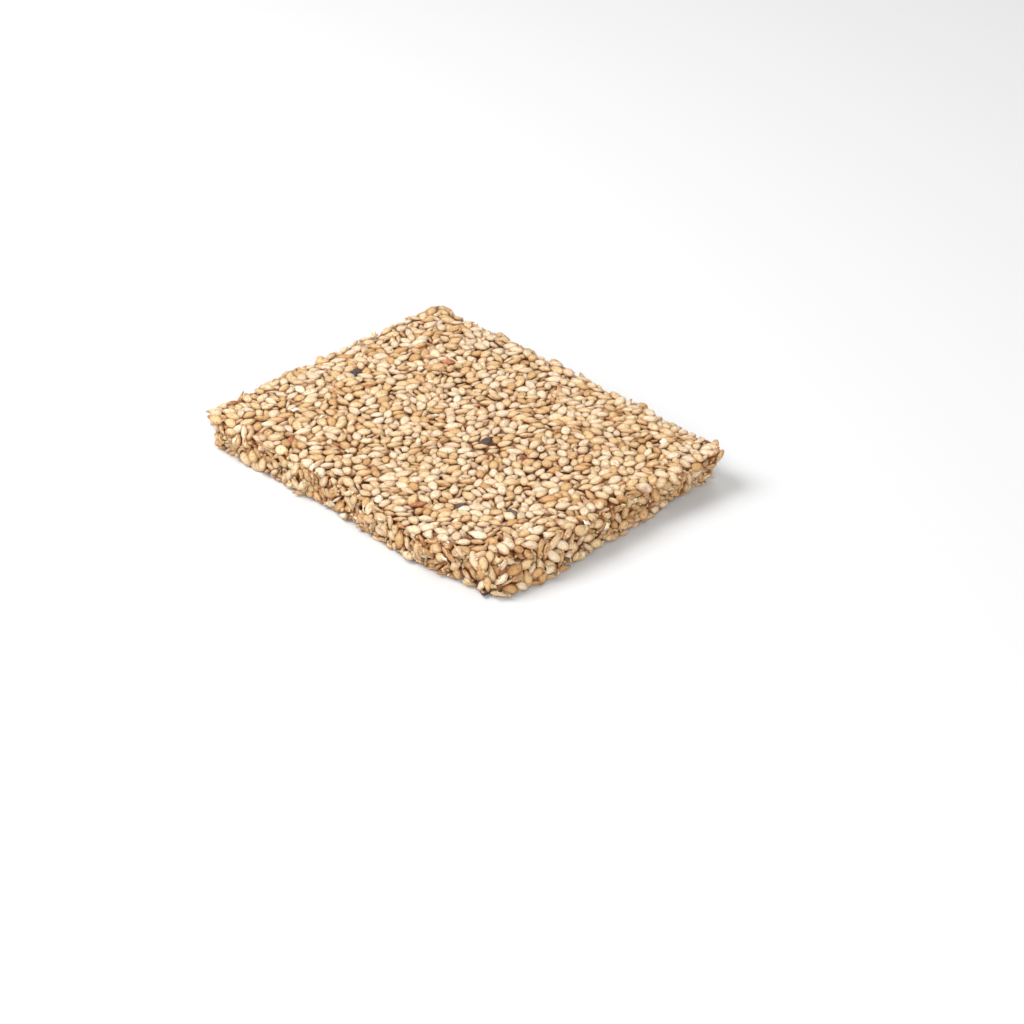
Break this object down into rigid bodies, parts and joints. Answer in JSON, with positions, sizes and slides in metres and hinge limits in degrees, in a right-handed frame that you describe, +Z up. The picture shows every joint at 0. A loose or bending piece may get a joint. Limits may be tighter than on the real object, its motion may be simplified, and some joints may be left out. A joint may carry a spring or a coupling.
{
  "type": "sesame cracker",
  "caption": "Flat hand-cut rectangular cracker of pressed toasted sesame seeds, grainy on its top and walls, with uneven cut edges and a flat underside.",
  "frame": {"origin": "middle of the bounding box's bottom face, on the surface that the cracker lies on", "axes": "+X along the longer side, +Y along the shorter side, +Z up through the thickness"},
  "size_m": [0.0894, 0.0686, 0.0086],
  "materials": {
    "sesame": "toasted golden-tan seeds with a satin skin, over a darker brown binder"
  },
  "bodies": {
    "root": {"cracker": "sesame"}
  },
  "joints": []
}
